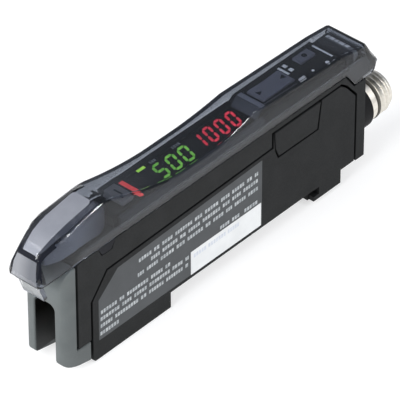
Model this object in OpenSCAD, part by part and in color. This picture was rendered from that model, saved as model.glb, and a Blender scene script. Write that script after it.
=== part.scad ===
// Slim rail-mounted amplifier for a fibre optic sensor, in millimetres.
// X runs along the length towards the round plug, -Y is the label side, +Z is up.
// The origin is the middle of the face that rests on the 35 mm mounting rail.
// Stations in the tables below count from the front wall of the rail recess (x)
// and from the underside of the front foot (z); at_seat() moves them to the origin.

/* [Body] */
// Width across the two flat sides
body_w = 9.8; // [9.6:0.1:10.4]
// Width of the recess that takes the mounting rail
rail_gap = 35.4; // [35.2:0.1:35.8]
// Depth of the front foot below the rail seat
foot_d = 3.1; // [2.9:0.1:3.3]
// Thickness of the side walls
wall = 1.2; // [1:0.1:1.3]
// Height of the deck that closes the case
deck_z = 22.5; // [22.3:0.1:22.5]
// Rear wall of the case
rear_x = 48.6; // [48.4:0.1:48.7]
// Gap between the side cover and the case
seam = 0.22; // [0.08:0.02:0.24]

/* [Dust cover] */
// Thickness of the clear cover
cover_t = 0.9; // [0.8:0.05:0.95]
// Lower edge of the cover
cover_low = 22.6; // [22.6:0.1:22.8]
// Highest point of the cover's side edges, over the nose
cover_peak = 29.45; // [29.2:0.05:29.6]
// Rise of the flat middle of the nose above its edges
crown_h = 0.8; // [0.5:0.1:1]
// Lowest point of the cover's top, over the display
cover_dip = 25.95; // [25.9:0.05:26.2]
// Distance of the hinge axis behind the recess front wall
hinge_x = 49.9; // [49.8:0.05:50]
// Height of the hinge axis
hinge_z = 20.85; // [20.8:0.05:20.95]
// Radius of the hinge pin
hinge_r = 0.6; // [0.5:0.05:0.65]
// Running gap around the hinge and rocker pins
pin_gap = 0.05; // [0.02:0.01:0.08]

/* [Panel] */
// Lean of the digits, sideways per height
digit_lean = 0.28; // [0:0.02:0.3]
// Height of the display face
disp_z = 24.2; // [24.15:0.05:24.3]
// Height of the key face
key_z = 25.2; // [25.1:0.05:25.25]
// Gap around each key
key_gap = 0.15; // [0.12:0.01:0.2]
// Half width of the panel
panel_y = 2.85; // [2.8:0.05:2.9]

/* [Front port] */
// Width of the slot for the head's plug
slot_w = 4.4; // [4.3:0.1:4.6]
// Top of the slot
slot_top = 14.1; // [13.5:0.1:14.3]
// Front face of the port block
port_x = -24.9; // [-25.1:0.1:-24.8]

/* [Plug] */
// Height of the plug's axis
plug_z = 10; // [9.5:0.1:10.5]
// Outer radius of the plug's thread
thread_r = 4; // [3.9:0.05:4]
// Radius of the collar behind the thread
collar_r = 4.4; // [4.2:0.1:4.6]
// Far end of the plug
plug_end = 57.7; // [57.5:0.1:58.5]

/* [Rail claw] */
// How far the claw stands out under the rail
claw_out = 1.1; // [0.9:0.1:1.2]

/* [Hidden] */
$fn = 48;

hw = body_w / 2;
charcoal = [0.16, 0.165, 0.17];
pale = [0.66, 0.69, 0.68];
smoke = [0.35, 0.37, 0.4, 0.45];
black = [0.06, 0.06, 0.065];
rocker_x = 30.3;
rocker_z = 24.35;
board_y = 0.6;
board_t = 0.8;
knee_z = 24.1;
kb_z = deck_z;
kb_t = 0.6;

// moves stations to the rail-seat origin
module at_seat() translate([-rail_gap / 2, 0, -foot_d]) children();

// a flat outline in X and Z, thickened from y0 to y1
module across(y0, y1) translate([0, y1, 0]) rotate([90, 0, 0]) linear_extrude(height = y1 - y0) children();

// a box given by its two corners
module box(a, b) translate(a) cube(b - a);

// a round bar along X
module bar_x(x0, x1, r, z, y = 0) translate([x0, y, z]) rotate([0, 90, 0]) cylinder(h = x1 - x0, r = r);

// a round bar along Y
module bar_y(y0, y1, r, x, z) translate([x, y1, z]) rotate([90, 0, 0]) cylinder(h = y1 - y0, r = r);

// outline of the side cover, grown by g all round
function side_outline(g) = [
  [-18.4 - 0.4 * g, -g], [-19 - g, 0.6 - 0.4 * g], [-19 - g, 12.8 + 0.35 * g],
  [-15.3 - 0.5 * g, 17.35 + g], [24.9 - g, 18.4 + g], [24.9 - g, 21.35 + g],
  [42.2 + 0.3 * g, 21.5 + g], [43.7 + 0.6 * g, 20.4 + 0.8 * g], [46.2 + g, 17.4 + 0.4 * g],
  [46.2 + g, 3.35 - g], [42.8 + g, 3.35 - g], [42.8 + g, 0.65 - g], [rail_gap - g, 0.65 - g],
  [rail_gap - g, foot_d - g], [g, foot_d - g], [g, -g]];

// outline of the case seen from the side
case_outline = [
  [-22.2, 5.1], [-22.2, deck_z - 0.4], [-21.3, deck_z], [rear_x - 1.2, deck_z], [rear_x, deck_z - 0.9], [rear_x, 3.35],
  [42.8, 3.35], [42.8, 0.65], [rail_gap, 0.65], [rail_gap, foot_d], [0, foot_d], [0, 0],
  [-18.4, 0], [-19, 0.6], [-19, 5.1]];

// outline of the expansion connector's cover, grown by g
function expansion_outline(g) = [
  [25.3 - g, 21.2 + g], [37.2 + g, 21.2 + g], [36.4 + g, 15.7 - g], [26.4 - g, 15.7 - g], [25.6 - g, 17.6 - 0.5 * g]];

// outline of the label, cut in at the upper front corner
label_outline = [[-17.4, 3.95], [22.3, 3.95], [22.3, 17.4], [-12.8, 16.2], [-17.4, 12.2]];

// slot of the front port with rounded upper corners, in Y and Z
function slot_outline(h, r) = concat(
  [[slot_w / 2, -1]],
  [for (a = [0:15:90]) [slot_w / 2 - r + r * cos(a), h - r + r * sin(a)]],
  [for (a = [90:15:180]) [-slot_w / 2 + r + r * cos(a), h - r + r * sin(a)]],
  [[-slot_w / 2, -1]]);
module slot_bar(x0, x1) translate([x0, 0, 0]) rotate([90, 0, 90]) linear_extrude(height = x1 - x0) polygon(slot_outline(slot_top, 1.1));

// ---- case ----

module main_housing() color(charcoal) at_seat() difference() {
  union() {
    difference() {
      across(-hw, hw) polygon(case_outline);
      // hollow of the case
      box([-17.6, -hw + wall, 4.6], [rear_x - 1.5, hw - wall, deck_z - 1.2]);
      // seat of the side cover and the way into the hollow behind it
      across(-hw - 1, -hw + wall) polygon(side_outline(seam));
      intersection() {
        across(-hw - 1, -hw + wall + 0.1) polygon(side_outline(-0.9));
        box([-17.6, -hw - 1, 4.6], [rear_x - 1.5, 0, deck_z - 1.2]);
      }
      // room for the ears of the dust cover
      for (s = [-1, 1]) scale([1, s, 1]) across(3.75, 6)
        polygon([[43, 22.9], [45.6, 19.4], [52, 19.4], [52, 22.9]]);
      // recesses for the pry tabs of the dust cover
      for (y = [-hw - 1, hw - 0.6]) across(y, y + 1.6) polygon(tab_outline(0.15));
      // way from the main board up to the key board
      box([-4, -1.6, deck_z - 2], [40, 1.6, deck_z + 1]);
    }
    // lug that holds the hinge pin
    difference() {
      union() {
        bar_y(-3.4, 3.4, 1.05, hinge_x, hinge_z);
        box([rear_x - 0.3, -3.4, hinge_z - 1.05], [hinge_x, 3.4, hinge_z + 1.05]);
      }
      bar_y(-3.5, 3.5, hinge_r + 0.005, hinge_x, hinge_z);
    }
    // posts that carry the main board
    for (p = [[-14, 12], [12, 8], [42, 12]]) bar_y(board_y + board_t, hw - wall + 0.2, 0.9, p[0], p[1]);
  }
  // slot behind the port block, and the window of the head socket
  slot_bar(-23, -19);
  box([-19.2, -1.9, 5.5], [-17.4, 1.9, 12.5]);
  // shadow gaps along the joint with the port block
  for (y = [-hw - 1, hw - 0.35]) {
    box([-22.41, y, 4.8], [-22.1, y + 1.35, 22.3]);
    box([-22.41, y, 4.8], [-19.15, y + 1.35, 5.15]);
  }
  // plug hole
  bar_x(rear_x - 2, rear_x + 1, 3.35, plug_z);
  // undercut that takes the rear edge of the rail
  box([rail_gap - 0.01, -6, 1.8], [rail_gap + 1.6, 6, foot_d + 0.15]);
  // relief over the claw, and the claw's guide
  box([-0.1, -2.9, 1], [1.3, 2.9, foot_d + 0.15]);
  box([-7.2, -2.9, 1.15], [0.1, 2.9, 2.05]);
  box([-7.2, -2.1, -0.1], [0.1, 2.1, 1.2]);
  // pocket of the claw's spring
  box([-10.2, -0.75, 0.85], [-6, 0.75, 2.35]);
}

module side_cover() color(charcoal) at_seat() difference() {
  across(-hw, -hw + wall - 0.05) polygon(side_outline(-seam));
  across(-hw - 1, -hw + 0.12) polygon(label_outline);
  across(-hw - 1, -hw + wall + 1) polygon(expansion_outline(0.16));
  box([rail_gap - 0.5, -6, 1.8], [rail_gap + 1.6, 6, foot_d + 0.15]);
}

module front_block() color(pale) at_seat() difference() {
  intersection() {
    across(-hw, hw) polygon([
      [-19.2, 1], [-19.2, 4.85], [-22.4, 4.85], [-22.4, 21.95], [-23.2, 21.65], [-24.1, 20.7],
      [-24.7, 19.2], [port_x, 17.3], [port_x, 3], [-24.6, 2.3], [-24, 1.95]]);
    translate([0, 0, -1]) linear_extrude(height = 30) polygon(concat(
      [[-19, hw], [-19, -hw], [-21.9, -hw]],
      [for (a = [0:18:90]) [-21.9 - 3 * sin(a), -hw + 1.9 - 1.9 * cos(a)]],
      [for (a = [90:-18:0]) [-21.9 - 3 * sin(a), hw - 1.9 + 1.9 * cos(a)]],
      [[-21.9, hw]]));
  }
  slot_bar(-27, -18);
}

module lock_lever() color([0.3, 0.315, 0.34]) at_seat() intersection() {
  across(-3, 3) polygon([
    [-26, deck_z + 0.1], [-26, 24.75], [-24.4, 25.6], [-22.5, 26.25], [-20.6, 26.5], [-13.6, 27.5],
    [-12.6, 27], [-12.2, 26], [-12.2, deck_z + 0.1]]);
  translate([0, 0, 20]) linear_extrude(height = 10) polygon([
    [-26, 1.2], [-24.4, 1.75], [-22.5, 2.2], [-14.2, 2.35], [-12.2, 1.5],
    [-12.2, -1.5], [-14.2, -2.35], [-22.5, -2.2], [-24.4, -1.75], [-26, -1.2]]);
}

// ---- dust cover ----

// height of the cover's top along the length: nose, peak, dip over the display, plateau, rear slope
function cover_top(x) =
  x < -13 ? cover_peak - 0.135 * (-13 - x) :
  x < 4 ? cover_dip + (cover_peak - cover_dip) * pow((4 - x) / 17, 1.7) :
  x < 10 ? cover_dip :
  x < 21.5 ? cover_dip + (27.4 - cover_dip) * pow((x - 10) / 11.5, 2) :
  x < 43.2 ? 27.4 - 0.75 * (x - 21.5) / 21.7 :
  x < 49.2 ? 26.65 - 0.8 * (x - 43.2) / 6 :
  x < 49.7 ? 25.85 - 0.45 * (x - 49.2) / 0.5 : 25.4 - 3.4 * (x - 49.7) / 1.9;
// half width of the leaning upper wall at height z
function cover_side(z) = hw - 0.33 * max(0, z - knee_z);
// rise of the flat middle above the edges: full over the nose, gone behind the peak
function crown(x) = max(0, (crown_h + 0.025 * (x + 19)) * min(1, (-12 - x) / 3.3));
// lower edge along the length, with the drop to the rounded ears
function cover_edge(x) =
  x < 43.6 ? cover_low :
  x < 45.9 ? cover_low - 3 * (x - 43.6) / 2.3 :
  x < hinge_x ? 19.6 : hinge_z - sqrt(max(0, 1.5625 - pow(x - hinge_x, 2)));
// one cross-section: x, then half width and height at the edge, knee, shoulder, top and crown
function body_row(x) = [x, hw, cover_edge(x), hw, knee_z, cover_side(cover_top(x) - 0.3), cover_top(x) - 0.3,
  cover_side(cover_top(x)) - 0.25, cover_top(x), 1.75, cover_top(x) + crown(x)];
nose_rows = [
  [-29.2, 3, 20.8, 3, 21, 2.9, 21.4, 2.7, 21.6, 1.5, 21.6],
  [-28.9, 3.5, 20.85, 3.5, 21.5, 2.85, 23.4, 2.45, 23.7, 1.4, 23.7],
  [-28.2, 3.65, 20.95, 3.65, 21.9, 2.5, 25, 2.1, 25.4, 1.3, 25.4],
  [-27.5, 3.75, 21.05, 3.75, 22.2, 2.55, 25.65, 2.15, 26.1, 1.4, 26.35],
  [-25.3, 4.2, 21.55, 4.2, 22.9, 3.1, 26.6, 2.7, 27.15, 1.7, 27.8],
  [-23.4, 4.65, 22.15, 4.65, 23.5, 3.6, 27.4, 3.2, 27.9, 1.75, 28.55]];
stations = [-21.5, -19.4, -17.3, -15.2, each [-13:1.7:4], each [7, 10], each [11.5:2:21.5], 27, 35, 43.2, 43.6, 45.9, 47.2, 48.8];
mid_rows = [for (x = stations) body_row(x)];
tail_rows = [
  body_row(49.2), body_row(49.7),
  [hinge_x, hw, 19.6, hw, 23.6, 4.4, 24.65, 4.1, cover_top(hinge_x), 1.75, cover_top(hinge_x)],
  [50.4, hw, cover_edge(50.4), hw, 22.9, 4.4, 23.75, 4.1, cover_top(50.4), 1.75, cover_top(50.4)],
  [50.8, hw, cover_edge(50.8), hw, 22.4, 4.45, 23.05, 4.15, cover_top(50.8), 1.75, cover_top(50.8)],
  [51.1, hw, 20.6, hw, 22.1, 4.5, 22.55, 4.25, cover_top(51.1), 1.75, cover_top(51.1)],
  [51.6, hw - 0.15, 21.4, hw - 0.15, 21.6, 4.6, 21.8, 4.4, 22, 1.75, 22]];
outer_rows = concat(nose_rows, mid_rows, tail_rows);
// the same section set in by the cover's thickness, open below
function inset(r, dx, e) = [r[0] + dx, r[1] - cover_t, e - 1.5, r[3] - cover_t, max(e, r[4] - 0.05),
  r[5] - 0.95 * cover_t, r[6] - 0.8 * cover_t, r[7] - 0.65 * cover_t, r[8] - 1.05 * cover_t, r[9] - 0.2, r[10] - 1.05 * cover_t];
inner_rows = concat(
  [for (i = [1:len(nose_rows) - 1]) inset(nose_rows[i], 0.85, nose_rows[i][2])],
  [for (r = mid_rows) inset(r, r[0] < -20 ? 0.6 : 0, cover_low)],
  [inset([49.6, hw, 19.6, hw, 22.5, 4.2, 23.6, 3.9, 23.9, 1.75, 23.9], 0, 21), inset([50.3, hw, 19.6, hw, 22, 4.2, 23, 3.9, 23.25, 1.75, 23.25], 0, 20.5)]);

function ring(r) = [for (k = [1:2:9]) [r[0], r[k], r[k + 1]], for (k = [9:-2:1]) [r[0], -r[k], r[k + 1]]];
// skin through a row of cross-sections
module loft(rows) {
  n = len(rows);
  m = 10;
  polyhedron(
    points = [for (r = rows) each ring(r)],
    faces = concat(
      [[for (k = [0:m - 1]) k]],
      [[for (k = [m - 1:-1:0]) (n - 1) * m + k]],
      [for (i = [0:n - 2], k = [0:m - 1]) [i * m + k, (i + 1) * m + k, (i + 1) * m + (k + 1) % m]],
      [for (i = [0:n - 2], k = [0:m - 1]) [i * m + k, (i + 1) * m + (k + 1) % m, i * m + (k + 1) % m]]));
}

// small pry tab on each side of the cover, grown by g
function tab_outline(g) = [[-17.3 - g, cover_low + 0.2], [-16.3 - g, 20.95 - g], [-14.2 + g, 20.95 - g], [-13.2 + g, cover_low + 0.2]];

// the moulded shell, taken as one skin
module cover_shell() {
  difference() {
    loft(outer_rows);
    loft(inner_rows);
    box([43, -3.9, 18], [50.3, 3.9, 22.6]);
    box([50, -3.9, 18], [52.5, 3.9, 21.6]);
    // room around the lug of the hinge
    bar_y(-3.9, 3.9, 1.25, hinge_x, hinge_z);
  }
  // catch tongue under the nose
  across(-2.25, 2.25) polygon([[-28.8, 21.2], [-27.8, 21.4], [-26.3, 16.8], [-27.05, 16.6], [-28.6, 20.85]]);
  // pry tabs
  for (y = [-hw, hw - 0.45]) across(y, y + 0.45) polygon(tab_outline(0));
}

module dust_cover() color(smoke) at_seat() difference() {
  resize([0, 0, 0]) cover_shell();
  // blind bores for the hinge pin
  bar_y(-4.55, 4.55, hinge_r + pin_gap, hinge_x, hinge_z);
}

module cover_pin() color([0.7, 0.7, 0.7]) at_seat() bar_y(-4.45, 4.45, hinge_r, hinge_x, hinge_z);

// ---- side details ----

module label() color([0.29, 0.3, 0.31]) at_seat() difference() {
  across(-hw, -hw + 0.12) polygon(label_outline);
  box([4.7, -hw - 1, 3], [22.1, 0, 8.7]);
}

module label_field() color([0.9, 0.9, 0.9]) at_seat() box([4.7, -hw, 3.95], [22.1, -hw + 0.12, 8.7]);

module expansion_cover() color([0.15, 0.155, 0.16]) at_seat() across(-hw, -hw + 0.6) polygon(expansion_outline(-0.12));

module expansion_socket() color(black) at_seat() difference() {
  box([27.6, -3.4, 16.6], [35.4, board_y, 20.4]);
  box([28.2, -4, 17.2], [34.8, -1, 19.8]);
}

module expansion_contacts() color([0.8, 0.66, 0.3]) at_seat()
  for (i = [0:4]) box([28.9 + 1.2 * i, -3.1, 18.3], [29.3 + 1.2 * i, -1, 18.8]);

// ---- panel under the cover ----

module top_panel() color(black) at_seat() difference() {
  across(-panel_y, panel_y) polygon([
    [-11.6, deck_z], [-11.6, 24.4], [-11, 24.9], [-5.4, 24.9], [-3.2, disp_z], [23, disp_z], [24.4, key_z + 0.35], [25.5, key_z + 0.35],
    [25.9, key_z], [43.6, key_z], [44.4, key_z - 0.5], [44.4, deck_z]]);
  // hollow below
  across(-2.45, 2.45) polygon([
    [-10.9, deck_z - 1], [-10.9, 24.35], [-5.5, 24.35], [-5.3, disp_z - 0.7], [24.6, disp_z - 0.7], [25.4, key_z - 0.6],
    [43.5, key_z - 0.6], [43.5, deck_z - 1]]);
  // seat of the display window and the hole for the display behind it
  box([-2.6, -2.65, disp_z - 0.4], [22.9, 2.65, disp_z + 1]);
  box([-2, -1.9, disp_z - 2], [22.4, 1.9, disp_z + 1]);
  // key holes
  box([-8.6 - key_gap, -2.05 - key_gap, 24], [-6 + key_gap, 2.05 + key_gap, 26]);
  box([26.4 - key_gap, -1.5 - key_gap, 24], [34.2 + key_gap, 2.1 + key_gap, 27]);
  box([38.2 - key_gap, 0.5 - key_gap, 23.5], [41.8 + key_gap, 2.5 + key_gap, 27]);
  box([34.5, -2.6, 24], [37.25, -1.7, 27]);
  // slot of the power bar
  box([-5.05, -2.45, 23.3], [-3.95, 2.15, 26]);
  // ends of the rocker's pin
  bar_y(-3, 3, 0.505, rocker_x, rocker_z);
}

module panel_print() color([0.85, 0.86, 0.87]) at_seat() {
  // legends as plain bars
  for (b = [[34.55, 0.2, 0.45, 2.45], [35.6, 1.75, 0.7, 0.85], [35.6, 0.35, 0.7, 0.8], [43.15, -1.9, 0.35, 4.4]])
    box([b[0], b[1], key_z], [b[0] + b[2], b[1] + b[3], key_z + 0.04]);
  for (p = [[41.5, -2.35, 0.36], [38.2, -2.05, 0.25]]) translate([p[0], p[1], key_z]) cylinder(h = 0.04, r = p[2]);
}

module display_window() color([0.03, 0.03, 0.035]) at_seat() box([-2.55, -2.6, disp_z - 0.4], [22.85, 2.6, disp_z]);

module display_module() color([0.1, 0.1, 0.1]) at_seat() box([-1.9, -1.8, kb_z + kb_t], [22.3, 1.8, disp_z - 0.4]);

// seven bars of one leaning digit, switched on by the mask m
module digit(x, w, h, t, m) {
  u = h / 2;
  bars = [
    [[-w / 2 + t, u - t], [w / 2 - t, u]], [[w / 2 - t, t / 2], [w / 2, u - t / 2]], [[w / 2 - t, -u + t / 2], [w / 2, -t / 2]],
    [[-w / 2 + t, -u], [w / 2 - t, -u + t]], [[-w / 2, -u + t / 2], [-w / 2 + t, -t / 2]], [[-w / 2, t / 2], [-w / 2 + t, u - t / 2]],
    [[-w / 2 + t, -t / 2], [w / 2 - t, t / 2]]];
  for (i = [0:6]) if (m[i] == 1) {
    a = bars[i][0];
    b = bars[i][1];
    translate([0, 0, disp_z]) linear_extrude(height = 0.06)
      polygon([for (p = [a, [b[0], a[1]], b, [a[0], b[1]]]) [x + p[0] + digit_lean * p[1], p[1]]]);
  }
}
zero = [1, 1, 1, 1, 1, 1, 0];
five = [1, 0, 1, 1, 0, 1, 1];
one = [0, 1, 1, 0, 0, 0, 0];

module digits_green() color([0.3, 0.95, 0.25]) at_seat() {
  translate([0, -0.4, 0]) {
    digit(2.6, 2.2, 3.8, 0.5, five);
    for (x = [5.6, 8.6]) digit(x, 2.2, 3.8, 0.5, zero);
  }
}

module digits_red() color([1, 0.12, 0.15]) at_seat() {
  digit(12.3, 1.9, 3.9, 0.5, one);
  for (i = [0:2]) digit(15.1 + 2.75 * i, 1.9, 3.9, 0.5, zero);
}

module power_bar() color([0.85, 0.1, 0.12]) at_seat() box([-5, -2.4, kb_z + kb_t], [-4, 2.1, 24.75]);

module stability_lamp() color([0.4, 0.95, 0.3]) at_seat() box([-0.3, 1.95, disp_z], [1.5, 2.55, disp_z + 0.06]);

module set_button() color([0.42, 0.43, 0.45]) at_seat() {
  box([-8.6, -2.05, 24.1], [-6, 2.05, 25.4]);
  box([-9.1, -2.35, 24.05], [-5.6, 2.35, 24.3]);
}

module rocker_key() color([0.2, 0.205, 0.215]) at_seat() difference() {
  union() {
    across(-1.5, 2.1) polygon([
      [26.4, 24.6], [26.4, 25.35], [26.8, 25.5], [29.6, 25.34], [31, 25.34], [33.8, 25.5], [34.2, 25.35], [34.2, 24.6], [31.3, 24.4], [29.3, 24.4]]);
    bar_y(-1.5, 2.1, 0.95, rocker_x, rocker_z);
    for (x = [27.4, 33.2]) translate([x, 0, 24.05]) cylinder(h = 1.1, r = 0.5);
  }
  bar_y(-3, 3, 0.5 + pin_gap, rocker_x, rocker_z);
}

module rocker_pin() color([0.7, 0.7, 0.7]) at_seat() bar_y(-2.75, 2.75, 0.5, rocker_x, rocker_z);

module mode_button() color([0.2, 0.205, 0.215]) at_seat() {
  box([38.2, 0.5, 24.1], [41.8, 2.5, 25.5]);
  box([37.8, 0.2, 24.05], [42.2, 2.4, 24.3]);
}

module slide_switch() color(black) at_seat() box([34.5, -2.4, kb_z + kb_t], [37.8, -1.2, 24.1]);

module slide_knob() color([0.86, 0.86, 0.86]) at_seat() {
  box([34.65, -2.45, 24.15], [36, -1.85, 25.35]);
}

module tact_switches() color([0.3, 0.3, 0.3]) at_seat()
  for (p = [[-7.3, 0], [27.4, 0], [33.2, 0], [40, 1.3]]) {
    box([p[0] - 1.2, p[1] - 1.1, kb_z + kb_t], [p[0] + 1.2, p[1] + 1.1, 23.55]);
    translate([p[0], p[1], 23.5]) cylinder(h = 0.2, r = 0.5);
  }

module key_board() color([0.1, 0.32, 0.16]) at_seat() box([-10.8, -2.4, kb_z], [43.4, 2.4, kb_z + kb_t]);

module board_header() color(black) at_seat() box([10, -0.9, 19.6], [18, board_y, kb_z]);

module main_board() color([0.1, 0.32, 0.16]) at_seat()
  box([-14.9, board_y, 5], [46, board_y + board_t, 21]);

module board_parts() color(black) at_seat() {
  for (c = [[-8, 8, 6, 6], [3, 8, 4, 5], [14, 9, 7, 7], [24, 8, 3, 4]])
    box([c[0], board_y - 1, c[1]], [c[0] + c[2], board_y, c[1] + c[3]]);
  for (i = [0:3]) bar_y(board_y - 2, board_y, 1.2, 38, 7 + 3 * i);
}

module head_socket() color([0.2, 0.2, 0.2]) at_seat() box([-18.9, -1.85, 5.55], [-15, 1.85, 12.45]);

module head_contacts() color([0.8, 0.66, 0.3]) at_seat()
  for (i = [0:3]) box([-21.2, -0.5, 6.4 + 1.6 * i], [-18.9, 0.5, 6.8 + 1.6 * i]);

module rear_cap() color([0.5, 0.51, 0.53]) at_seat() across(-3.2, 3.2)
  polygon([[45.2, deck_z], [45.2, 25.15], [48.2, 24.45], [48.3, 23.6], [47.3, deck_z]]);

// ---- round plug ----

module turned(x0, z) translate([x0, 0, z]) rotate([0, 90, 0]) rotate_extrude() children();

module plug_collar() color(black) at_seat() difference() {
  union() {
    bar_x(rear_x, 51.8, collar_r, plug_z);
    bar_x(rear_x - 1.5, rear_x, 3.3, plug_z);
  }
  bar_x(49.6, 52, 3.25, plug_z);
}

module plug_shell() color([0.75, 0.75, 0.73]) at_seat() turned(0, plug_z) polygon([
  [2.6, 49.6], [3.2, 49.6], [3.2, 51.8], [thread_r, 51.8], [thread_r, 53.4], [3.5, 53.4], [3.5, 54.2],
  [thread_r, 54.2], [thread_r, plug_end - 0.7], [3.45, plug_end], [3, plug_end], [3, 52.6], [2.6, 52.6]]);

module plug_seal() color([0.04, 0.04, 0.04]) at_seat() translate([53.8, 0, plug_z]) rotate([0, 90, 0])
  rotate_extrude() translate([3.82, 0]) circle(r = 0.31);

module plug_insert() color([0.08, 0.08, 0.08]) at_seat() {
  bar_x(52.65, 54.6, 2.95, plug_z);
  bar_x(49.65, 52.65, 2.55, plug_z);
}

module plug_pins() color([0.85, 0.7, 0.35]) at_seat()
  for (a = [45:90:315]) bar_x(54.6, 57.6, 0.5, plug_z + 1.45 * sin(a), 1.45 * cos(a));

// ---- rail claw ----

module rail_claw() color(black) at_seat() {
  box([-6, -2.75, 1.25], [0, 2.75, 1.95]);
  box([-6, -2, 0.15], [0, 2, 1.25]);
  across(-2.75, 2.75) polygon([[0, 1.25], [0, 1.95], [claw_out, 1.95], [claw_out, 1.7]]);
}

module claw_spring() color([0.6, 0.6, 0.6]) at_seat()
  for (i = [0:6]) turned(-10 + 0.62 * i, 1.6) translate([0.5, 0]) circle(r = 0.12, $fn = 24);

main_housing();
side_cover();
front_block();
lock_lever();
dust_cover();
cover_pin();
label();
label_field();
expansion_cover();
expansion_socket();
expansion_contacts();
top_panel();
panel_print();
display_window();
display_module();
digits_green();
digits_red();
power_bar();
stability_lamp();
set_button();
rocker_key();
rocker_pin();
mode_button();
slide_switch();
slide_knob();
tact_switches();
key_board();
board_header();
main_board();
board_parts();
head_socket();
head_contacts();
rear_cap();
plug_collar();
plug_shell();
plug_seal();
plug_insert();
plug_pins();
rail_claw();
claw_spring();
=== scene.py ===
import math

import bmesh
import bpy
import numpy as np
from mathutils import Matrix, Vector


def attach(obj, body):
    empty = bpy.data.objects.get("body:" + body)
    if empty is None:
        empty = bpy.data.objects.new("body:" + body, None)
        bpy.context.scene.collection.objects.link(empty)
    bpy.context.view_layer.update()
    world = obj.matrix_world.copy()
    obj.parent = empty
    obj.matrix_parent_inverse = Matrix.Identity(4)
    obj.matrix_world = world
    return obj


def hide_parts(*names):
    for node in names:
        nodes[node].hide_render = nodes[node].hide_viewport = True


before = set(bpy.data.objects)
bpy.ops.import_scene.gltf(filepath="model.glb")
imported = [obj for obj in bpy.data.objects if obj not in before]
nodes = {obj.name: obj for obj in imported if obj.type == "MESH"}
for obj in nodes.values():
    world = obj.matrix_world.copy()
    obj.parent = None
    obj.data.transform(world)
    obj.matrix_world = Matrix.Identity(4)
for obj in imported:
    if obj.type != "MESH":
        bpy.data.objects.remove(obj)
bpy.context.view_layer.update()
MM = 0.001


def P(x, y, z):
    """A point from stations in millimetres: x from the recess wall, z from the front foot."""
    return Vector(((x - 17.7) * MM, y * MM, (z - 3.1) * MM))


# ---------------------------------------------------------------- materials

def new_mat(name):
    m = bpy.data.materials.new(name)
    m.use_nodes = True
    nt = m.node_tree
    nt.nodes.clear()
    out = nt.nodes.new("ShaderNodeOutputMaterial")
    b = nt.nodes.new("ShaderNodeBsdfPrincipled")
    nt.links.new(b.outputs[0], out.inputs["Surface"])
    return m, nt, b, out


def noise(nt, scale, detail=3.0, rough=0.55, stretch=None):
    """Noise in object space, features of about 1/scale metres."""
    co = nt.nodes.new("ShaderNodeTexCoord")
    n = nt.nodes.new("ShaderNodeTexNoise")
    n.inputs["Scale"].default_value = scale
    n.inputs["Detail"].default_value = detail
    n.inputs["Roughness"].default_value = rough
    if stretch:
        mp = nt.nodes.new("ShaderNodeMapping")
        mp.inputs["Scale"].default_value = stretch
        nt.links.new(co.outputs["Object"], mp.inputs["Vector"])
        nt.links.new(mp.outputs["Vector"], n.inputs["Vector"])
    else:
        nt.links.new(co.outputs["Object"], n.inputs["Vector"])
    return n.outputs["Fac"]


def ramp(nt, fac, lo, hi, a=0.35, b=0.65):
    r = nt.nodes.new("ShaderNodeValToRGB")
    r.color_ramp.elements[0].position = a
    r.color_ramp.elements[1].position = b
    r.color_ramp.elements[0].color = (*lo, 1)
    r.color_ramp.elements[1].color = (*hi, 1)
    nt.links.new(fac, r.inputs["Fac"])
    return r.outputs["Color"]


def spread(nt, fac, lo, hi, a=0.3, b=0.7):
    m = nt.nodes.new("ShaderNodeMapRange")
    m.inputs["From Min"].default_value = a
    m.inputs["From Max"].default_value = b
    m.inputs["To Min"].default_value = lo
    m.inputs["To Max"].default_value = hi
    nt.links.new(fac, m.inputs["Value"])
    return m.outputs["Result"]


def bump(nt, b, height, depth_mm, strength=1.0):
    n = nt.nodes.new("ShaderNodeBump")
    n.inputs["Strength"].default_value = strength
    n.inputs["Distance"].default_value = depth_mm * MM
    nt.links.new(height, n.inputs["Height"])
    nt.links.new(n.outputs["Normal"], b.inputs["Normal"])
    return n


def moulded(name, lo, hi, rough=(0.42, 0.56), grain=5200, depth=0.006, spec=0.4, blotch=210):
    """Moulded plastic: faint flow blotches, a fine spark-eroded grain in bump and roughness."""
    m, nt, b, _ = new_mat(name)
    nt.links.new(ramp(nt, noise(nt, blotch, 4), lo, hi), b.inputs["Base Color"])
    g = noise(nt, grain, 2)
    nt.links.new(spread(nt, g, *rough), b.inputs["Roughness"])
    b.inputs["Specular IOR Level"].default_value = spec
    bump(nt, b, g, depth)
    return m


def graded(name, front, rear, x0, x1, axis="X", rough=(0.4, 0.55), grain=4200, depth=0.003, spec=0.2):
    """Moulded plastic whose tone runs from one to the other between two stations of an axis."""
    m, nt, b, _ = new_mat(name)
    co = nt.nodes.new("ShaderNodeTexCoord")
    xyz = nt.nodes.new("ShaderNodeSeparateXYZ")
    nt.links.new(co.outputs["Object"], xyz.inputs["Vector"])
    zero = {"X": 17.7, "Y": 0.0, "Z": 3.1}[axis]
    along = spread(nt, xyz.outputs[axis], 0.0, 1.0, (x0 - zero) * MM, (x1 - zero) * MM)
    nt.links.new(ramp(nt, along, front, rear, 0.0, 1.0), b.inputs["Base Color"])
    g = noise(nt, grain, 2)
    nt.links.new(spread(nt, g, *rough), b.inputs["Roughness"])
    b.inputs["Specular IOR Level"].default_value = spec
    bump(nt, b, g, depth)
    return m


def metal(name, lo, hi, rough=(0.16, 0.3), grain=2600, stretch=(1, 1, 1), depth=0.002):
    """Plated or drawn metal: streaks in colour, roughness and a faint bump."""
    m, nt, b, _ = new_mat(name)
    b.inputs["Metallic"].default_value = 1.0
    g = noise(nt, grain, 3, stretch=stretch)
    nt.links.new(ramp(nt, g, lo, hi, 0.3, 0.7), b.inputs["Base Color"])
    nt.links.new(spread(nt, g, *rough), b.inputs["Roughness"])
    bump(nt, b, g, depth)
    return m


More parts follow.
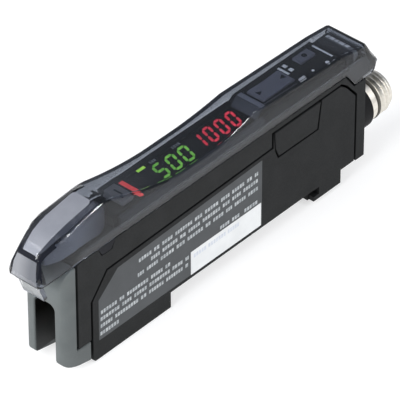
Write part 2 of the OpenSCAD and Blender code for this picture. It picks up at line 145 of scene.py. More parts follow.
def lit(name, lo, hi, glow, strength, grain=1500):
    """Lit segment: a bright core that varies a little from place to place."""
    m, nt, b, _ = new_mat(name)
    b.inputs["Base Color"].default_value = (*[c * 0.5 for c in glow], 1)
    nt.links.new(ramp(nt, noise(nt, grain, 2), lo, hi), b.inputs["Emission Color"])
    b.inputs["Emission Strength"].default_value = strength
    b.inputs["Roughness"].default_value = 0.4
    return m


def smoked(name, density=1210.0):
    """Clear smoked plastic: polished faces, grey through its own thickness, lamps reach what is behind."""
    m, nt, b, out = new_mat(name)
    b.inputs["Base Color"].default_value = (1, 1, 1, 1)
    b.inputs["Transmission Weight"].default_value = 1.0
    b.inputs["IOR"].default_value = 1.42
    g = noise(nt, 900, 2)
    nt.links.new(spread(nt, g, 0.02, 0.05), b.inputs["Roughness"])
    clear = nt.nodes.new("ShaderNodeBsdfTransparent")
    clear.inputs["Color"].default_value = (0.95, 0.95, 0.95, 1)
    path = nt.nodes.new("ShaderNodeLightPath")
    mix = nt.nodes.new("ShaderNodeMixShader")
    nt.links.new(path.outputs["Is Shadow Ray"], mix.inputs["Fac"])
    nt.links.new(b.outputs[0], mix.inputs[1])
    nt.links.new(clear.outputs[0], mix.inputs[2])
    nt.links.new(mix.outputs[0], out.inputs["Surface"])
    vol = nt.nodes.new("ShaderNodeVolumeAbsorption")
    vol.inputs["Color"].default_value = (0.10, 0.16, 0.26, 1)
    vol.inputs["Density"].default_value = density
    nt.links.new(vol.outputs[0], out.inputs["Volume"])
    return m


M = {
    "case": moulded("case_plastic", (0.0105, 0.0112, 0.0114), (0.0145, 0.0152, 0.0156), rough=(0.48, 0.6), spec=0.11),
    "side": moulded("side_plastic", (0.0100, 0.0106, 0.0110), (0.0135, 0.0142, 0.0147), rough=(0.48, 0.6), spec=0.11),
    "port": moulded("port_plastic", (0.080, 0.089, 0.089), (0.095, 0.105, 0.105), rough=(0.4, 0.52), grain=4200, depth=0.004, spec=0.2),
    "lever": graded("lever_plastic", (0.215, 0.23, 0.275), (0.034, 0.036, 0.046), -19.5, -12.4),
    "smoke": smoked("smoked_plastic"),
    "smoke_thin": smoked("smoked_tongue", 200.0),
    "field": moulded("nose_field", (0.178, 0.186, 0.212), (0.208, 0.216, 0.243), rough=(0.35, 0.45), grain=4200, depth=0.002, spec=0.3),
    # painted highlight on the lip: darker on the label side, lighter on the far side
    "lip_sheen": graded("nose_lip_sheen", (0.10, 0.105, 0.118), (0.195, 0.20, 0.215), -1.2, 1.4, "Y"),
    # painted shade on the nose's facets: a darker copy for the far side, a lighter one for the label side
    "far_facet_shade": moulded("nose_far_facet_shade", (0.013, 0.014, 0.018), (0.018, 0.019, 0.024), rough=(0.35, 0.5), depth=0.001, spec=0.15),
    "edge": moulded("nose_near_facet_shade", (0.030, 0.034, 0.046), (0.040, 0.044, 0.057), rough=(0.35, 0.5), depth=0.001, spec=0.15),
    # painted shade along the folds and edges of the clear cover
    "painted_edge_shade": moulded("painted_edge_shade", (0.004, 0.005, 0.009), (0.008, 0.009, 0.014), rough=(0.4, 0.55), depth=0.001, spec=0.1),
    # dark plastic of the pry tabs, and painted shade behind the ears and in the cover's rear end
    "tabs_and_shade": moulded("dark_tabs_and_painted_shade", (0.006, 0.0065, 0.009), (0.010, 0.0105, 0.014), rough=(0.45, 0.6), depth=0.002, spec=0.12),
    # painted shade for the slot: black at the top, lighter towards the bottom
    "slot_shade": graded("slot_painted_shade", (0.050, 0.052, 0.052), (0.003, 0.003, 0.003), 3.5, 10.5, "Z", spec=0.08),
    "steel": metal("pin_steel", (0.055, 0.056, 0.06), (0.10, 0.101, 0.106), stretch=(1, 0.06, 1)),
    "film": moulded("label_film", (0.060, 0.064, 0.067), (0.070, 0.074, 0.078), rough=(0.35, 0.48), grain=7000, depth=0.0015, spec=0.15),
    "white": moulded("label_white", (0.68, 0.69, 0.69), (0.74, 0.75, 0.75), rough=(0.4, 0.55), grain=7000, depth=0.001, spec=0.2),
    "ink": moulded("label_ink", (0.26, 0.28, 0.29), (0.48, 0.50, 0.51), rough=(0.4, 0.55), grain=5000, depth=0.001, blotch=1500, spec=0.2),
    "grey_ink": moulded("field_ink", (0.52, 0.55, 0.60), (0.62, 0.65, 0.70), rough=(0.4, 0.55), grain=5000, depth=0.001, blotch=1500, spec=0.2),
    "panel": moulded("panel_black", (0.005, 0.0052, 0.006), (0.009, 0.0094, 0.0104), rough=(0.45, 0.6), depth=0.003, spec=0.15),
    "print": moulded("panel_ink", (0.75, 0.77, 0.80), (0.90, 0.92, 0.95), rough=(0.4, 0.5), grain=5000, depth=0.001, blotch=1500, spec=0.2),
    "cap_print": moulded("cap_ink", (0.88, 0.89, 0.90), (0.94, 0.95, 0.96), rough=(0.4, 0.5), grain=5000, depth=0.001, blotch=1500, spec=0.2),
    "dim_print": moulded("window_ink", (0.12, 0.13, 0.14), (0.22, 0.23, 0.25), rough=(0.4, 0.5), grain=5000, depth=0.001, blotch=1500, spec=0.2),
    "ridge": moulded("ridge_plastic", (0.15, 0.16, 0.20), (0.19, 0.20, 0.24), rough=(0.35, 0.45), depth=0.002, spec=0.3),
    "window": moulded("window_black", (0.0025, 0.0026, 0.003), (0.0045, 0.0047, 0.0055), rough=(0.08, 0.16), grain=2500, depth=0.0004, spec=0.3),
    "green": lit("segment_green", (0.10, 0.36, 0.02), (0.36, 0.74, 0.12), (0.2, 0.8, 0.1), 0.75),
    "lamp": lit("lamp_green", (0.30, 0.66, 0.05), (0.55, 0.90, 0.12), (0.3, 0.8, 0.1), 1.1),
    "red": lit("segment_red", (0.62, 0.015, 0.04), (0.95, 0.06, 0.11), (0.8, 0.05, 0.08), 0.85),
    "bar": lit("bar_red", (0.72, 0.04, 0.05), (0.92, 0.10, 0.10), (0.8, 0.06, 0.06), 0.95),
    "key": moulded("key_grey", (0.132, 0.132, 0.144), (0.158, 0.158, 0.170), rough=(0.4, 0.55), depth=0.003, spec=0.25),
    "key_dark": moulded("key_dark", (0.125, 0.129, 0.164), (0.147, 0.151, 0.189), rough=(0.4, 0.55), depth=0.003, spec=0.25),
    "mark": moulded("key_mark", (0.004, 0.004, 0.005), (0.008, 0.008, 0.009), rough=(0.5, 0.6), depth=0.001, spec=0.15),
    "knob": moulded("knob_white", (0.66, 0.66, 0.66), (0.76, 0.76, 0.76), rough=(0.4, 0.5), depth=0.002, spec=0.25),
    "rear": graded("rear_grey", (0.020, 0.021, 0.025), (0.21, 0.22, 0.235), 46.75, 47.2, spec=0.25),
    # painted shade inside the sloped rear end of the cover
    "rear_painted_shade": moulded("rear_painted_shade", (0.055, 0.058, 0.062), (0.080, 0.083, 0.088), rough=(0.4, 0.5), depth=0.002, spec=0.2),
    "slope": moulded("panel_slope", (0.034, 0.037, 0.048), (0.044, 0.047, 0.058), rough=(0.4, 0.5), depth=0.002, spec=0.2),
    "frame": moulded("panel_frame", (0.030, 0.032, 0.039), (0.037, 0.039, 0.046), rough=(0.4, 0.5), depth=0.002, spec=0.2),
    "board": moulded("board_green", (0.012, 0.08, 0.03), (0.02, 0.12, 0.05), rough=(0.25, 0.4), grain=3000, depth=0.004),
    "inner": moulded("inner_black", (0.007, 0.007, 0.0075), (0.011, 0.011, 0.0115), rough=(0.5, 0.65), depth=0.004, spec=0.12),
    "gold": metal("contact_gold", (0.72, 0.50, 0.20), (0.86, 0.64, 0.30)),
    "nickel": metal("plug_nickel", (0.73, 0.69, 0.61), (0.88, 0.845, 0.77), rough=(0.32, 0.46), grain=1800, stretch=(0.25, 1, 1), depth=0.0015),
    "rubber": moulded("seal_rubber", (0.085, 0.080, 0.067), (0.13, 0.122, 0.103), rough=(0.4, 0.55), depth=0.004, spec=0.3),
    "spring": metal("spring_wire", (0.42, 0.42, 0.43), (0.6, 0.6, 0.61)),
}
LOOK = {
    "main_housing": "case", "side_cover": "side", "front_block": "port", "lock_lever": "lever", "dust_cover": "smoke",
    "cover_pin": "steel", "label": "film", "label_field": "white", "expansion_cover": "side", "expansion_socket": "inner",
    "expansion_contacts": "gold", "top_panel": "panel", "panel_print": "print", "display_window": "window",
    "display_module": "inner", "digits_green": "green", "digits_red": "red", "power_bar": "bar", "stability_lamp": "lamp",
    "set_button": "key", "rocker_key": "key_dark", "rocker_pin": "steel", "mode_button": "key_dark", "slide_switch": "inner",
    "slide_knob": "knob", "tact_switches": "inner", "key_board": "board", "board_header": "inner", "main_board": "board",
    "board_parts": "inner", "head_socket": "inner", "head_contacts": "gold", "rear_cap": "rear", "plug_collar": "inner",
    "plug_shell": "nickel", "plug_seal": "rubber", "plug_insert": "inner", "plug_pins": "gold", "rail_claw": "inner",
    "claw_spring": "spring",
}
for name, look in LOOK.items():
    o = nodes[name]
    o.data.materials.clear()
    o.data.materials.append(M[look])


# ---------------------------------------------------------------- mesh helpers

def soften(name, width, segments=3, angle=28):
    """Rounds the edges of a CAD node with modifiers; its own mesh stays as it is."""
    o = nodes[name]
    w = o.modifiers.new("weld", "WELD")
    w.merge_threshold = 2e-6
    d = o.modifiers.new("planar", "DECIMATE")
    d.decimate_type = "DISSOLVE"
    d.angle_limit = math.radians(0.6)
    b = o.modifiers.new("edges", "BEVEL")
    b.limit_method = "ANGLE"
    b.angle_limit = math.radians(angle)
    b.width = width * MM
    b.segments = segments
    b.use_clamp_overlap = True
    b.harden_normals = True
    n = o.modifiers.new("normals", "WEIGHTED_NORMAL")
    n.keep_sharp = False


def add(name, bm, mat, body, replaces=(), angle=32):
    """Turns a bmesh into a piece that rides on a body."""
    bmesh.ops.recalc_face_normals(bm, faces=bm.faces)
    me = bpy.data.meshes.new(name)
    bm.to_mesh(me)
    bm.free()
    me.shade_smooth()
    me.set_sharp_from_angle(angle=math.radians(angle))
    o = bpy.data.objects.new(name, me)
    bpy.context.scene.collection.objects.link(o)
    me.materials.append(mat)
    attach(o, body)
    if replaces:
        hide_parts(*replaces)
    return o


def bevel_sharp(bm, width, segments=2, angle=25, keep=None):
    edges = [e for e in bm.edges if len(e.link_faces) == 2 and e.calc_face_angle(0) > math.radians(angle) and (keep is None or keep(e))]
    if edges:
        bmesh.ops.bevel(bm, geom=edges, offset=width * MM, offset_type="OFFSET", segments=segments, profile=0.5, affect="EDGES", clamp_overlap=True)


def prism(bm, pts, y0, y1):
    """Outline in x and z, from y0 to y1."""
    a = [bm.verts.new(P(x, y0, z)) for x, z in pts]
    b = [bm.verts.new(P(x, y1, z)) for x, z in pts]
    n = len(pts)
    made = [bm.faces.new(a), bm.faces.new(b[::-1])]
    for i in range(n):
        made.append(bm.faces.new((a[i], b[i], b[(i + 1) % n], a[(i + 1) % n])))
    return made


def slab(bm, pts, z0, z1):
    """Outline in x and y, from z0 to z1."""
    a = [bm.verts.new(P(x, y, z0)) for x, y in pts]
    b = [bm.verts.new(P(x, y, z1)) for x, y in pts]
    n = len(pts)
    made = [bm.faces.new(a), bm.faces.new(b[::-1])]
    for i in range(n):
        made.append(bm.faces.new((a[i], b[i], b[(i + 1) % n], a[(i + 1) % n])))
    return made


def box(bm, lo, hi):
    return prism(bm, [(lo[0], lo[2]), (hi[0], lo[2]), (hi[0], hi[2]), (lo[0], hi[2])], lo[1], hi[1])


# ---------------------------------------------------------------- dust cover

HW, T, LOW, KNEE = 4.9, 0.5, 22.6, 24.1
SLOT_W, SLOT_TOP = 4.4, 14.1
HX, HZ = 49.9, 20.85


def top(x):
    if -14.8 < x < -11.2:
        u = (x + 14.8) / 3.6
        return (1 - u) ** 2 * (29.45 - 0.135 * 1.8) + 2 * u * (1 - u) * 29.45 + u * u * (25.95 + 3.5 * (15.2 / 17) ** 1.7)
    if x < -13:
        return 29.45 - 0.135 * (-13 - x)
    if x < 4:
        return 25.95 + 3.5 * ((4 - x) / 17) ** 1.7
    if x < 10:
        return 25.95
    if x < 21.5:
        return 25.95 + 1.45 * ((x - 10) / 11.5) ** 2
    if x < 43.2:
        return 27.4 - 0.75 * (x - 21.5) / 21.7
    if x < 49.2:
        return 26.65 - 0.8 * (x - 43.2) / 6
    if x < 49.7:
        return 25.85 - 0.45 * (x - 49.2) / 0.5
    return 25.4 - 3.4 * (x - 49.7) / 1.9


def side(z):
    return HW - 0.33 * max(0.0, z - KNEE)


def crown(x):
    return max(0.0, (0.8 + 0.025 * (x + 19)) * min(1.0, (-12 - x) / 3.3))


def edge(x):
    if x < 43.6:
        return LOW
    if x < 45.9:
        return LOW - 3 * (x - 43.6) / 2.3
    if x < HX:
        return 19.6
    return HZ - math.sqrt(max(0.0, 1.5625 - (x - HX) ** 2))


def body(x):
    t = top(x)
    return [HW, edge(x), HW, KNEE, side(t - 0.3), t - 0.3, side(t) - 0.25, t, 1.75, t + crown(x)]


# half width and height at the edge, knee, shoulder, top and crown
NOSE = np.array([
    [-29.2, 3, 20.8, 3, 21, 2.9, 21.4, 2.7, 21.6, 1.5, 21.6],
    [-28.9, 3.5, 20.85, 3.5, 21.5, 2.85, 23.4, 2.45, 23.7, 1.4, 23.7],
    [-28.2, 3.65, 20.95, 3.65, 21.9, 2.5, 25, 2.1, 25.4, 1.3, 25.4],
    [-27.5, 3.75, 21.05, 3.75, 22.2, 2.55, 25.65, 2.15, 26.1, 1.4, 26.35],
    [-25.3, 4.2, 21.55, 4.2, 22.9, 3.1, 26.6, 2.7, 27.15, 1.7, 27.8],
    [-23.4, 4.65, 22.15, 4.65, 23.5, 3.6, 27.4, 3.2, 27.9, 1.75, 28.55],
    [-21.5, *body(-21.5)]])
TAIL = np.array([
    [48.8, *body(48.8)],
    [49.2, HW, edge(49.2), HW, 24.05, 4.25, 25.45, 3.85, top(49.2), 1.75, top(49.2)],
    [49.7, HW, edge(49.7), HW, 23.8, 4.2, 24.95, 3.65, top(49.7), 1.75, top(49.7)],
    [HX, HW, 19.6, HW, 23.6, 4.2, 24.6, 3.65, top(HX), 1.75, top(HX)],
    [50.4, HW, edge(50.4), HW, 22.9, 4.3, 23.75, 3.8, top(50.4), 1.75, top(50.4)],
    [50.8, HW, edge(50.8), HW, 22.4, 4.4, 23.05, 3.95, top(50.8), 1.75, top(50.8)],
    [51.1, HW, 20.6, HW, 22.1, 4.5, 22.55, 4.25, top(51.1), 1.75, top(51.1)],
    [51.6, HW - 0.15, 21.4, HW - 0.15, 21.6, 4.6, 21.8, 4.4, 22, 1.75, 22]])


def lerp_rows(rows, x):
    return np.array([np.interp(x, rows[:, 0], rows[:, k]) for k in range(1, 11)])


def outer(x):
    if x < -21.5:
        return lerp_rows(NOSE, x)
    if x > 48.8:
        r = lerp_rows(TAIL, x)
        if x < 51.1:
            r[1] = edge(x)
        return r
    return np.array(body(x))


def inset(r, e):
    return np.array([r[0] - T, e, r[2] - T, max(e, r[3] - 0.05), r[4] - 0.95 * T, r[5] - 0.8 * T, r[6] - 0.65 * T, r[7] - 1.05 * T,
                     r[8] - 0.2, r[9] - 1.05 * T])


INNER_NOSE = np.array([[r[0] + 0.5, *inset(r[1:], r[2])] for r in NOSE[1:-1]] + [[-21.0, *inset(outer(-21.5), LOW)]])
INNER_TAIL = np.array([[48.8, *inset(outer(48.8), LOW)],
                       [49.6, *inset([HW, 19.6, HW, 22.5, 4.2, 23.6, 3.9, 23.9, 1.75, 23.9], 21)],
                       [50.3, *inset([HW, 19.6, HW, 22, 4.2, 23, 3.9, 23.25, 1.75, 23.25], 20.5)]])


def inner(x):
    if x < -21.0:
        r = lerp_rows(INNER_NOSE, x)
    elif x > 48.8:
        r = lerp_rows(INNER_TAIL, x)
    else:
        r = inset(outer(x), LOW)
    r[1] = outer(x)[1]
    return r


def make_cover():
    bm = bmesh.new()
    front, rear = float(INNER_NOSE[0, 0]), 50.3
    xs = sorted(set(np.round(np.concatenate([
        NOSE[:, 0], INNER_NOSE[:, 0], [-19.4, -17.3, -15.2], np.arange(-14.8, 4, 0.45), np.arange(4, 10, 2),
        np.arange(10, 21.5, 0.5), [21.5, 27, 35, 43.2, 43.6, 45.9, 47.2, 48.8, 49.2, 49.6, 49.7], np.arange(49.9, 51.1, 0.2),
        [50.3, 50.4, 50.8, 51.1, 51.35, 51.6]]), 3)))
    sections = []
    for x in xs:
        o = outer(x)
        if x <= front:
            i = inner(front)
            w = min(i[0], o[0] - 0.3)
            flat = np.array([w, o[1], w * 0.9, o[1], w * 0.7, o[1], w * 0.5, o[1], w * 0.3, o[1]])
            sections.append((x, o, flat))
            if x == round(front, 3):
                sections.append((x, o, i))
        elif x <= rear:
            sections.append((x, o, inner(x)))
            if x == rear:
                sections.append((x, o, np.array([4.0, o[1], 4.0, 21.62, 2.9, 21.62, 1.9, 21.62, 1.0, 21.62])))
        else:
            w = min(4.0, o[0] - 0.75)
            sections.append((x, o, np.array([w, o[1], w, max(21.62, o[1] + 0.02), 2.9, 21.62, 1.9, 21.62, 1.0, 21.62])))
    rings = []
    for x, o, i in sections:
        half = [(o[k], o[k + 1]) for k in range(0, 10, 2)]
        hollow = [(i[k], i[k + 1]) for k in range(0, 10, 2)]
        pts = [(-y, z) for y, z in half] + half[::-1] + hollow + [(-y, z) for y, z in hollow[::-1]]
        rings.append([bm.verts.new(P(x, y, z)) for y, z in pts])
    n = len(rings[0])
    for a, b in zip(rings[:-1], rings[1:]):
        for k in range(n):
            bm.faces.new((a[k], a[(k + 1) % n], b[(k + 1) % n], b[k]))
    bm.faces.new(rings[0])
    bm.faces.new(rings[-1][::-1])
    bmesh.ops.remove_doubles(bm, verts=bm.verts, dist=2e-7)
    bmesh.ops.dissolve_degenerate(bm, edges=bm.edges, dist=1e-7)
    bevel_sharp(bm, 0.12, 2, 24)
    return bm


cover = add("dust_cover_shell", make_cover(), M["smoke"], "cover", ["dust_cover"], angle=17)


def skin(x, y):
    """Height of the cover's upper face."""
    r = outer(x)
    if abs(y) <= r[8]:
        return r[9]
    return r[9] + (r[7] - r[9]) * (abs(y) - r[8]) / (r[6] - r[8])


def ribbon(bm, stations, across, lift, depth):
    """A thin strip that follows the upper face of the nose; across gives its points in y at each station."""
    rings = []
    for x in stations:
        ys = across(x)
        rings.append([bm.verts.new(P(x, y, skin(x, y) + lift)) for y in ys] + [bm.verts.new(P(x, y, skin(x, y) - depth)) for y in ys[::-1]])
    n = len(rings[0])
    for a, b in zip(rings[:-1], rings[1:]):
        for k in range(n):
            bm.faces.new((a[k], b[k], b[(k + 1) % n], a[(k + 1) % n]))
    bm.faces.new(rings[0])
    bm.faces.new(rings[-1][::-1])


def half_field(x):
    w = outer(x)[8] - 0.06
    return w - max(0.0, 0.75 - math.sqrt(max(0.0, 0.5625 - max(0.0, x + 16.35) ** 2)))


def facet(x, k):
    """A place on the facet beside the crown, 0 at the crown and 1 at the edge."""
    r = outer(x)
    return float(r[8] + k * (r[6] - r[8]))


def field_across(x):
    h = half_field(x)
    wide = h + 0.06 + 0.26 * (facet(x, 1) - facet(x, 0))
    return [-wide, -h - 0.05, h]


NOSE_X = [-27.85, -26.6, -25.9, -25.3, -24.4, -23.4, -22.4, -21.5, -20, -18.5, -17.3, -16.35, -16.1, -15.9, -15.75, -15.65]
bm = bmesh.new()
ribbon(bm, NOSE_X, field_across, 0.012, 0.03)
add("nose_field", bm, M["field"], "cover")
# painted shade on the facets beside the crown: a dark strip on the label side and a darker one on the far side
bm = bmesh.new()
ribbon(bm, [-28.1, -27.5] + NOSE_X[1:11] + [-16.3, -15.3], lambda x: [-facet(x, 0.31), -facet(x, 0.5), -facet(x, 0.84)], 0.008, 0.03)
add("near_facet_shade", bm, M["edge"], "cover")
bm = bmesh.new()
ribbon(bm, [-28.1, -27.5] + NOSE_X[1:11] + [-16.3, -15.3, -14.8, -14.3, -13.8, -13.3, -12.8, -12.3, -11.8, -11.3],
       lambda x: [facet(x, k) for k in (np.interp(x, (-16.3, -11.3), (0.04, 0.78)), np.interp(x, (-16.3, -11.3), (0.5, 0.82)), 0.86)], 0.008, 0.03)
add("nose_far_facet_shade", bm, M["far_facet_shade"], "cover")
# painted shade: a dark line inside the wall along the edge away from the label
bm = bmesh.new()
ribbon(bm, [-17.2, -16.2, -15.2, -14.4, -13.8, -13.2, -12.6, -12, -11.4, -10, -8, -6, -4, -2, 0, 2, 4, 7, 10, 12, 14, 16, 18, 20, 21.5, 27, 35, 43.2, 47.2, 48.6], lambda x: [float(outer(x)[6]) - 0.72, float(outer(x)[6]) - 0.06], -0.06, 0.1)
add("far_edge_shade", bm, M["painted_edge_shade"], "cover")
# painted highlight on the front faces of the lip: pale sheets, darker on the label side and lighter on the far side
bm = bmesh.new()
rings = []
for x, z, h in ((-29.18, 20.95, 2.75), (-29.18, 21.55, 2.65), (-29.164, 21.85, 2.55), (-28.9, 23.7, 2.36), (-28.61, 24.4, 2.2), (-28.34, 25.06, 2.08)):
    rings.append([bm.verts.new(P(xx, y, z)) for xx, y in ((x - 0.012, -h), (x - 0.012, h), (x + 0.03, h), (x + 0.03, -h))])
for a, b in zip(rings[:-1], rings[1:]):
    for k in range(4):
        bm.faces.new((a[k], b[k], b[(k + 1) % 4], a[(k + 1) % 4]))
bm.faces.new(rings[0])
bm.faces.new(rings[-1][::-1])
add("nose_lip_sheen", bm, M["lip_sheen"], "cover")


def tube(bm, pts, r, n=8):
    """A round bead through a row of points."""
    pts = [P(*p) for p in pts]
    rings = []
    for i, c in enumerate(pts):
        d = (pts[min(i + 1, len(pts) - 1)] - pts[max(i - 1, 0)]).normalized()
        u = d.cross(Vector((0.3, 0.9, 0.2))).normalized()
        v = d.cross(u)
        rings.append([bm.verts.new(c + (u * math.cos(2 * math.pi * k / n) + v * math.sin(2 * math.pi * k / n)) * r * MM) for k in range(n)])
    for a, b in zip(rings[:-1], rings[1:]):
        for k in range(n):
            bm.faces.new((a[k], a[(k + 1) % n], b[(k + 1) % n], b[k]))
    bm.faces.new(rings[0][::-1])
    bm.faces.new(rings[-1])


# painted shade: dark beads along the folds between the nose's faces, seen through the clear plastic
bm = bmesh.new()
for sgn in (-1, 1):
    tube(bm, [(x, sgn * (outer(x)[6] - 0.3), outer(x)[7] - 0.3) for x in (-27.95, -27.5, -26.8, -26, -25.3, -24.4, -23.6)], 0.2)
    tube(bm, [(-28.2, sgn * 2.05, 24.85), (-28.12, sgn * 2.65, 23.7), (-28.08, sgn * 3.15, 22.3), (-28.08, sgn * 3.3, 21.3)], 0.24)
tube(bm, [(-28.22, y, 24.8) for y in (-2.05, -1, 0, 1, 2.05)], 0.22)
add("nose_fold_shade", bm, M["painted_edge_shade"], "cover")

# painted shade: a dark band around the front edge of the nose and down its corners
bm = bmesh.new()
ribbon(bm, [-28.32, -28.26, -28.2, -28.04, -27.88], lambda x: [-float(outer(x)[6]), -float(outer(x)[8]), float(outer(x)[8]), float(outer(x)[6])], 0.012, 0.03)
for sgn in (-1, 1):
    ribbon(bm, [-28.06, -27.9, -27.7, -27.5, -27.2, -26.8], lambda x: [sgn * facet(x, float(np.interp(x, (-27.9, -27.2), (0.24, 0.78)))), sgn * facet(x, 1.0)], 0.014, 0.03)
    rows = []
    for xl, xm, xr, k in ((-25.0, -24.95, -24.9, 0.005), (-26.2, -26.15, -26.1, 0.02), (-27.3, -27.25, -27.15, 0.04), (-28.02, -27.95, -27.8, 0.06), (-28.35, -28.25, -28.1, 0.16), (-28.62, -28.5, -28.3, 0.36),
                          (-28.9, -28.72, -28.42, 0.58), (-29.03, -28.88, -28.55, 0.8), (-29.15, -29.0, -28.68, 0.98)):
        a, b, c = outer(xl), outer(xm), outer(xr)
        pts = [(xl, a[6], a[7]), (xm, b[4], b[5]), (xr, c[4] + k * (c[2] - c[4]), c[5] + k * (c[3] - c[5]))]
        rows.append([bm.verts.new(P(x - 0.012, sgn * (y + 0.02), z + 0.012)) for x, y, z in pts]
                    + [bm.verts.new(P(x + 0.02, sgn * (y - 0.03), z - 0.02)) for x, y, z in pts[::-1]])
    for a, b in zip(rows[:-1], rows[1:]):
        for k in range(6):
            bm.faces.new((a[k], b[k], b[(k + 1) % 6], a[(k + 1) % 6]))
    bm.faces.new(rows[0])
    bm.faces.new(rows[-1][::-1])
add("nose_front_shade", bm, M["painted_edge_shade"], "cover")

# painted shade: dark sheets behind the ears and inside the solid rear end of the cover
bm = bmesh.new()
for sgn in (-1, 1):
    prism(bm, [(44.6, 22.5), (46.1, 19.95), (49.9, 19.95), (50.6, 20.15), (51.05, 20.75), (51.42, 21.55), (51.15, 22.2), (50.6, 22.85), (49.55, 23.8), (44.6, 23.8)], sgn * 4.28, sgn * 4.34)
add("ear_painted_shade", bm, M["tabs_and_shade"], "cover")
bm = bmesh.new()
prism(bm, [(50.45, 21.8), (51.1, 21.8), (51.05, 22.35), (50.45, 23.3)], -4.25, 4.25)
bevel_sharp(bm, 0.1, 2)
add("rear_core_shade", bm, M["tabs_and_shade"], "cover")
bm = bmesh.new()
prism(bm, [(48.45, 25.0), (48.58, 25.0), (49.4, 23.25), (50.1, 22.55), (49.95, 22.5), (49.25, 23.2)], -3.3, 3.3)
add("rear_shade_sheet", bm, M["rear_painted_shade"], "cover")

bm = bmesh.new()
prism(bm, [(-27.75, 20.93), (-26.3, 16.8), (-27.05, 16.6), (-28.58, 20.8), (-28.62, 20.84)], -2.25, 2.25)
bevel_sharp(bm, 0.12, 2)
add("catch_tongue", bm, M["smoke_thin"], "cover")
bm = bmesh.new()
for y0, y1 in ((-4.9, -4.45), (4.45, 4.9)):
    prism(bm, [(-17.3, 22.57), (-16.3, 20.95), (-14.2, 20.95), (-13.2, 22.57)], y0, y1)
bevel_sharp(bm, 0.08, 2)
add("pry_tabs", bm, M["tabs_and_shade"], "cover")


# painted shade on the slot's side walls: a black sheet, lighter towards the bottom
bm = bmesh.new()
for sgn in (-1, 1):
    prism(bm, [(-24.55, 2.3), (-19.3, 2.3), (-19.3, SLOT_TOP - 1.1), (-24.55, SLOT_TOP - 1.1)], sgn * (SLOT_W / 2 - 0.03), sgn * (SLOT_W / 2 - 0.005))
add("slot_shade_sheet", bm, M["slot_shade"], "case")


# ---------------------------------------------------------------- label

def words(bm, x0, x1, z, h, lengths, slope=0.0, gap=0.55, y=-4.9):
    """A row of short printed bars that stands for a line of small print."""
    x, k = x0, 0
    while x < x1 - 0.3:
        w = min(lengths[k % len(lengths)], x1 - x)
        n = max(1, round(w / 0.62))
        s = w / n
        for i in range(n):
            zz = z + slope * (x + i * s - x0)
            box(bm, (x + i * s, y, zz), (x + i * s + s * 0.74, y + 0.02, zz + h))
        x += w + gap
        k += 1


bm = bmesh.new()
prism(bm, [(-17.4, 3.95), (4.68, 3.95), (4.68, 8.72), (22.12, 8.72), (22.12, 3.95), (22.3, 3.95), (22.3, 17.4), (-12.8, 16.2), (-17.4, 12.2)], -4.885, -4.78)
add("label_film", bm, M["film"], "case", ["label"])
bm = bmesh.new()
box(bm, (4.7, -4.888, 3.95), (22.1, -4.78, 8.7))
add("label_blank", bm, M["white"], "case", ["label_field"])
bm = bmesh.new()
words(bm, -7.8, 21.4, 14.2, 0.72, [3.1, 1.4, 2.6, 4.2, 1.9, 3.4, 2.2], 0.027)
words(bm, -4.9, 21.4, 12.85, 0.72, [2.2, 3.7, 1.5, 2.9, 4.4, 1.8], 0.027)
words(bm, -8.1, 21.4, 11.35, 0.72, [1.6, 2.8, 3.3, 2.1, 3.9, 1.3, 2.6], 0.02)
words(bm, -16.9, -0.2, 9.05, 0.72, [3.9, 1.2, 5.2, 2.9], 0.0)
words(bm, -17.0, 4.3, 7.68, 0.72, [4.6, 2.3, 3.1, 5.0, 2.6], 0.0)
words(bm, -17.0, 4.2, 6.25, 0.72, [2.9, 5.6, 1.4, 3.6, 4.1], 0.0)
words(bm, -17.1, -12.4, 4.75, 0.72, [4.5], 0.0)
words(bm, 11.9, 16.8, 9.1, 0.7, [2.4, 2.1], 0.0)
words(bm, 17.9, 21.5, 9.1, 0.7, [3.4], 0.0)
add("label_small_print", bm, M["ink"], "case")
bm = bmesh.new()
words(bm, 5.4, 16.8, 7.15, 0.8, [3.2, 4.4, 2.9], 0.0, 0.4, -4.895)
add("field_small_print", bm, M["grey_ink"], "case")


# ---------------------------------------------------------------- display

DISP, KEY, LEAN = 24.2, 25.2, 0.28


def digit(bm, cx, cy, w, h, t, on):
    """Seven mitred bars that lean; on says which are lit."""
    u, v, q, g = w / 2, h / 2, t / 2, 0.09

    def bar(pts):
        slab(bm, [(cx + x + LEAN * y, cy + y) for x, y in pts], DISP, DISP + 0.06)

    def bar_h(y):
        a, b = -u + q + g, u - q - g
        bar([(a, y), (a + q, y - q), (b - q, y - q), (b, y), (b - q, y + q), (a + q, y + q)])

    def bar_v(x, ya, yb):
        a, b = ya + g, yb - g
        bar([(x, a), (x + q, a + q), (x + q, b - q), (x, b), (x - q, b - q), (x - q, a + q)])

    for name, draw in {
        "a": lambda: bar_h(v - q), "b": lambda: bar_v(u - q, 0, v - q), "c": lambda: bar_v(u - q, -v + q, 0), "d": lambda: bar_h(-v + q),
        "e": lambda: bar_v(-u + q, -v + q, 0), "f": lambda: bar_v(-u + q, 0, v - q), "g": lambda: bar_h(0)}.items():
        if name in on:
            draw()


bm = bmesh.new()
digit(bm, 2.6, -0.4, 2.2, 3.8, 0.5, "acdfg")
for x in (5.6, 8.6):
    digit(bm, x, -0.4, 2.2, 3.8, 0.5, "abcdef")
add("green_number", bm, M["green"], "case", ["digits_green"])
bm = bmesh.new()
digit(bm, 12.3, 0, 1.9, 3.9, 0.5, "bc")
for x in (15.1, 17.85, 20.6):
    digit(bm, x, 0, 1.9, 3.9, 0.5, "abcdef")
add("red_number", bm, M["red"], "case", ["digits_red"])


def plate(bm, x0, x1, y0, y1, z, h=0.04):
    box(bm, (x0, y0, z - 0.01), (x1, y1, z + h))


